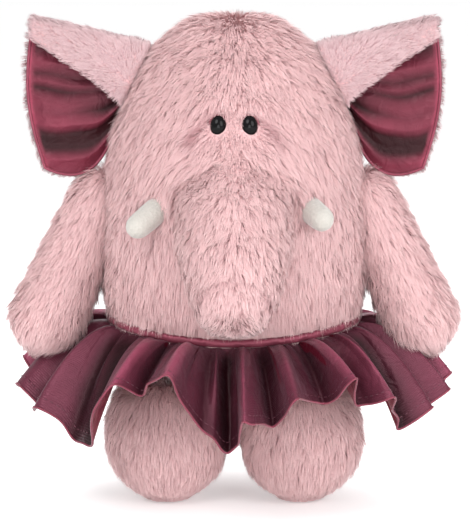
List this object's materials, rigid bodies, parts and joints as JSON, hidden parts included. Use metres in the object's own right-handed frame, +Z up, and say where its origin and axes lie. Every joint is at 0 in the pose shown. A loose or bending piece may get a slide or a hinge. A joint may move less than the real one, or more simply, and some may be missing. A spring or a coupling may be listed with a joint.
{
  "type": "stuffed elephant toy",
  "caption": "Standing plush elephant with a free trunk, folded satin-lined ears, felt tusks, ball-shaped limbs and a gathered satin skirt at the waist.",
  "frame": {"origin": "on the floor under the middle of the toy's box", "axes": "+Z up, the toy faces -Y, its own left is +X"},
  "size_m": [0.219, 0.1954, 0.2464],
  "materials": {
    "fur": "long silky pink pile",
    "ear_satin": "dark rose satin",
    "skirt_satin": "dusty mauve satin",
    "skirt_lining": "deep burgundy satin",
    "binding": "rose satin binding",
    "felt": "off-white short plush",
    "eye": "polished black",
    "washer": "natural nylon",
    "elastic": "covered elastic",
    "stuffing": "polyester fibre"
  },
  "bodies": {
    "body": {"left_body_panel": "fur", "right_body_panel": "fur", "body_stuffing": "stuffing", "left_eye": "eye", "right_eye": "eye", "left_eye_washer": "washer", "right_eye_washer": "washer", "left_tusk_skin": "felt", "left_tusk_stuffing": "stuffing", "right_tusk_skin": "felt", "right_tusk_stuffing": "stuffing", "skirt_outer": "skirt_satin", "skirt_lining": "skirt_lining", "waistband": "binding", "waist_elastic": "elastic"},
    "trunk": {"left_trunk_panel": "fur", "right_trunk_panel": "fur", "trunk_tip_panel": "fur", "trunk_stuffing": "stuffing"},
    "left_ear": {"left_ear_back": "fur", "left_ear_lining": "ear_satin"},
    "right_ear": {"right_ear_back": "fur", "right_ear_lining": "ear_satin"},
    "left_arm": {"left_arm_front_panel": "fur", "left_arm_back_panel": "fur", "left_arm_stuffing": "stuffing"},
    "right_arm": {"right_arm_front_panel": "fur", "right_arm_back_panel": "fur", "right_arm_stuffing": "stuffing"},
    "left_leg": {"left_leg_front_panel": "fur", "left_leg_back_panel": "fur", "left_leg_stuffing": "stuffing", "left_sole": "fur"},
    "right_leg": {"right_leg_front_panel": "fur", "right_leg_back_panel": "fur", "right_leg_stuffing": "stuffing", "right_sole": "fur"}
  },
  "joints": [
    {"name": "trunk_lift", "type": "hinge", "parent": "body", "child": "trunk", "pos_m": [0, -0.0595, 0.148], "axis": [-1, 0, 0], "range_deg": [-8, 20], "stiffness_Nm_per_rad": 0.3},
    {"name": "left_arm_swing", "type": "hinge", "parent": "body", "child": "left_arm", "pos_m": [0.067, 0, 0.156], "axis": [-1, 0, 0], "range_deg": [-25, 50], "stiffness_Nm_per_rad": 0.05},
    {"name": "right_arm_swing", "type": "hinge", "parent": "body", "child": "right_arm", "pos_m": [-0.067, 0, 0.156], "axis": [-1, 0, 0], "range_deg": [-25, 50], "stiffness_Nm_per_rad": 0.05},
    {"name": "left_leg_swing", "type": "hinge", "parent": "body", "child": "left_leg", "pos_m": [0.034, -0.003, 0.052], "axis": [-1, 0, 0], "range_deg": [-15, 15], "stiffness_Nm_per_rad": 1.5},
    {"name": "right_leg_swing", "type": "hinge", "parent": "body", "child": "right_leg", "pos_m": [-0.034, -0.003, 0.052], "axis": [-1, 0, 0], "range_deg": [-15, 15], "stiffness_Nm_per_rad": 1.5},
    {"name": "left_ear_flap", "type": "hinge", "parent": "body", "child": "left_ear", "pos_m": [0.05118, -0.006, 0.212], "axis": [0.447, 0, -0.8945], "range_deg": [-20, 20], "stiffness_Nm_per_rad": 0.08},
    {"name": "right_ear_flap", "type": "hinge", "parent": "body", "child": "right_ear", "pos_m": [-0.05118, -0.006, 0.212], "axis": [0.447, 0, 0.8945], "range_deg": [-20, 20], "stiffness_Nm_per_rad": 0.08}
  ]
}
